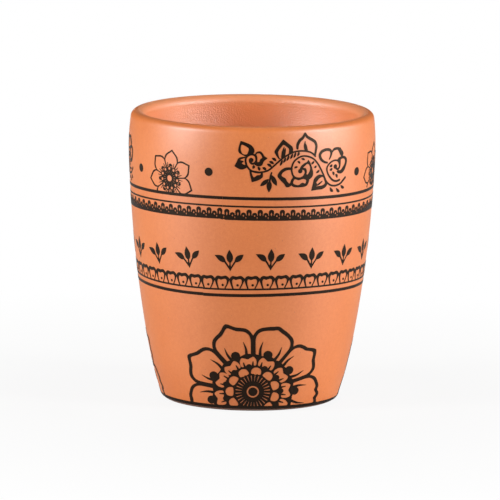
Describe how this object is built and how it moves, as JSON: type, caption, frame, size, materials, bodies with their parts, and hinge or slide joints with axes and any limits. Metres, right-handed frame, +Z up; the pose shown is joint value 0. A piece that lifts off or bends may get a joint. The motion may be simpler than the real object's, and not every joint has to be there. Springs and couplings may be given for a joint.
{
  "type": "espresso cup",
  "caption": "Handleless espresso cup in terracotta coloured stoneware, with a rolled rim, a foot ring, a glazed inside and a black henna style ornament printed round the wall.",
  "frame": {"origin": "centre of the ground face under the foot ring", "axes": "+Z up along the cup's axis; the front, with a large flower in the middle, looks along -Y"},
  "size_m": [0.0602, 0.0601, 0.0706],
  "materials": {
    "stoneware": "fired clay with a thin satin coat",
    "glaze": "satin glaze, fired",
    "print": "fired-on ceramic print, semi-matt"
  },
  "bodies": {
    "root": {"cup_body": "stoneware", "inner_glaze": "glaze", "base_line": "print", "lower_rule_wide": "print", "lower_rule_fine": "print", "scallop_border": "print", "sprig_row": "print", "lace_border": "print", "upper_rule_fine": "print", "upper_rule_wide": "print", "small_rosettes": "print", "frieze_dots": "print", "vine_sprays": "print", "large_flowers": "print"}
  },
  "joints": []
}
